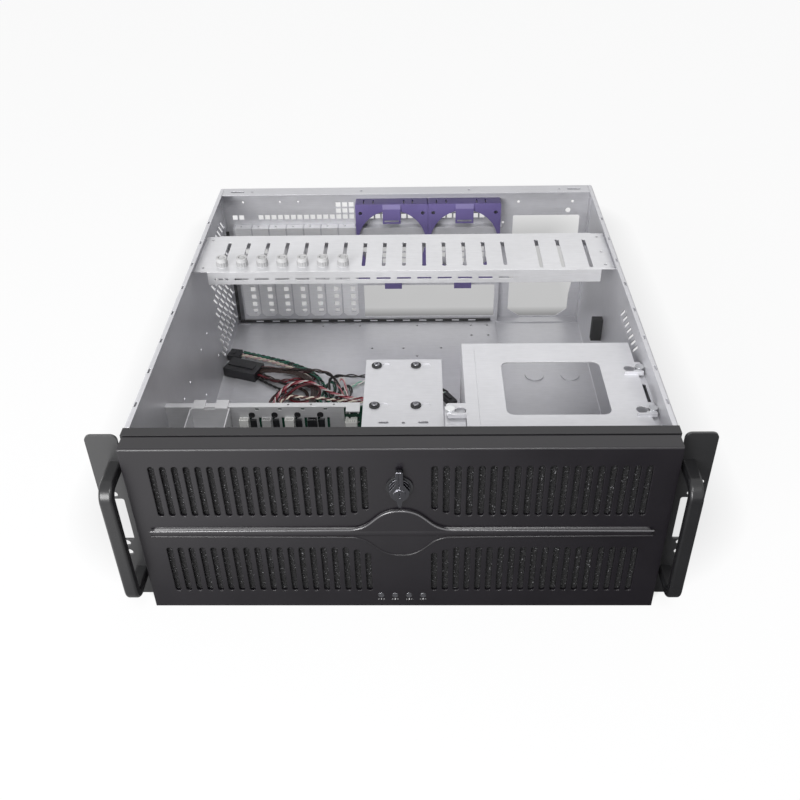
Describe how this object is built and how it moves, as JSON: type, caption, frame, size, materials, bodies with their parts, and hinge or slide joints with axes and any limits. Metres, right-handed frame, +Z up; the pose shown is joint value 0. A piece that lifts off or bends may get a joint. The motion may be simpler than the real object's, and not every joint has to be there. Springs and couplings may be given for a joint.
{
  "type": "rackmount server case",
  "caption": "Open-topped steel server case, four rack units high, with a slotted hinged front door, ears with handles, a card bar, drive bays and rear fan holders.",
  "frame": {"origin": "middle of the base, halfway between the handles' fronts and the rear panel", "axes": "+Z up, +Y towards the rear panel, +X to the right seen from the front"},
  "size_m": [0.4826, 0.486, 0.1788],
  "materials": {
    "bar_steel": "satin",
    "base_steel": "satin",
    "black_button": "satin",
    "black_connector": "satin",
    "black_cover": "matte",
    "black_door": "satin",
    "black_ear": "satin",
    "black_frame": "matte",
    "black_handle": "satin",
    "black_panel": "matte",
    "black_rubber": "matte",
    "black_screws": "satin",
    "bracket_steel": "satin",
    "cage_steel": "satin",
    "clear_lens": "polished",
    "cover_steel": "satin",
    "dark_foam": "matte",
    "green_board": "satin",
    "lead_black_sheath": "satin",
    "lead_flat_sheath": "satin",
    "lead_green_sheath": "satin",
    "lead_mint_sheath": "satin",
    "lead_red_sheath": "satin",
    "lead_white_sheath": "satin",
    "lock_chrome": "polished",
    "pale_connector": "matte",
    "plated_steel": "polished",
    "purple_plastic": "matte",
    "rail_steel": "satin",
    "rear_steel": "satin",
    "white_nylon": "matte",
    "zinc_screws": "polished"
  },
  "bodies": {
    "chassis": {"backplane_board": "green_board", "backplane_connectors": "pale_connector", "backplane_rail": "rail_steel", "bay_cage": "cage_steel", "bay_cover_1": "black_cover", "bay_cover_2": "black_cover", "bay_cover_3": "black_cover", "bracket_grommets": "black_rubber", "button_board": "green_board", "cage_hangers": "plated_steel", "cage_rail_left": "cage_steel", "cage_rail_right": "cage_steel", "card_retainer_bar": "bar_steel", "case_screws": "zinc_screws", "chassis_base": "base_steel", "door_hinge_pins": "plated_steel", "drive_bracket": "bracket_steel", "ear_left": "black_ear", "ear_right": "black_ear", "fan_holder_left": "purple_plastic", "fan_holder_right": "purple_plastic", "front_panel": "black_panel", "front_screws": "black_screws", "handle_left": "black_handle", "handle_right": "black_handle", "harness_connectors": "black_connector", "lead_black": "lead_black_sheath", "lead_flat": "lead_flat_sheath", "lead_green": "lead_green_sheath", "lead_mint": "lead_mint_sheath", "lead_red": "lead_red_sheath", "lead_white": "lead_white_sheath", "port_box": "rail_steel", "rear_panel": "rear_steel", "slot_cover_1": "cover_steel", "slot_cover_2": "cover_steel", "slot_cover_3": "cover_steel", "slot_cover_4": "cover_steel", "slot_cover_5": "cover_steel", "slot_cover_6": "cover_steel", "slot_cover_7": "cover_steel", "small_connector": "black_connector", "supply_stop": "black_rubber"},
    "door": {"front_door": "black_door", "door_filter_left": "dark_foam", "door_filter_right": "dark_foam", "filter_frame": "black_frame", "led_lenses": "clear_lens", "lock_bezel": "lock_chrome"},
    "lock": {"lock_knob": "lock_chrome", "lock_cam": "plated_steel"},
    "post_1": {"hold_down_post_1": "white_nylon"},
    "post_2": {"hold_down_post_2": "white_nylon"},
    "post_3": {"hold_down_post_3": "white_nylon"},
    "post_4": {"hold_down_post_4": "white_nylon"},
    "post_5": {"hold_down_post_5": "white_nylon"},
    "post_6": {"hold_down_post_6": "white_nylon"},
    "post_7": {"hold_down_post_7": "white_nylon"},
    "power_button": {"power_button": "black_button"},
    "reset_button": {"reset_button": "black_button"}
  },
  "joints": [
    {"name": "door_hinge", "type": "hinge", "parent": "chassis", "child": "door", "pos_m": [0, -0.2182, 0.0112], "axis": [1, 0, 0], "range_deg": [0, 88]},
    {"name": "lock_turn", "type": "hinge", "parent": "door", "child": "lock", "pos_m": [0, -0.225, 0.1385], "axis": [0, -1, 0], "range_deg": [0, 90]},
    {"name": "post_slide_1", "type": "slide", "parent": "chassis", "child": "post_1", "axis": [0, 1, 0], "range_m": [0, 0.048]},
    {"name": "post_slide_2", "type": "slide", "parent": "chassis", "child": "post_2", "axis": [0, 1, 0], "range_m": [0, 0.048]},
    {"name": "post_slide_3", "type": "slide", "parent": "chassis", "child": "post_3", "axis": [0, 1, 0], "range_m": [0, 0.048]},
    {"name": "post_slide_4", "type": "slide", "parent": "chassis", "child": "post_4", "axis": [0, 1, 0], "range_m": [0, 0.048]},
    {"name": "post_slide_5", "type": "slide", "parent": "chassis", "child": "post_5", "axis": [0, 1, 0], "range_m": [0, 0.048]},
    {"name": "post_slide_6", "type": "slide", "parent": "chassis", "child": "post_6", "axis": [0, 1, 0], "range_m": [0, 0.048]},
    {"name": "post_slide_7", "type": "slide", "parent": "chassis", "child": "post_7", "axis": [0, 1, 0], "range_m": [0, 0.048]},
    {"name": "power_button_push", "type": "slide", "parent": "chassis", "child": "power_button", "axis": [0, 1, 0], "range_m": [0, 0.002], "stiffness_N_per_m": 300, "springref_m": -0.002},
    {"name": "reset_button_push", "type": "slide", "parent": "chassis", "child": "reset_button", "axis": [0, 1, 0], "range_m": [0, 0.002], "stiffness_N_per_m": 300, "springref_m": -0.002}
  ]
}
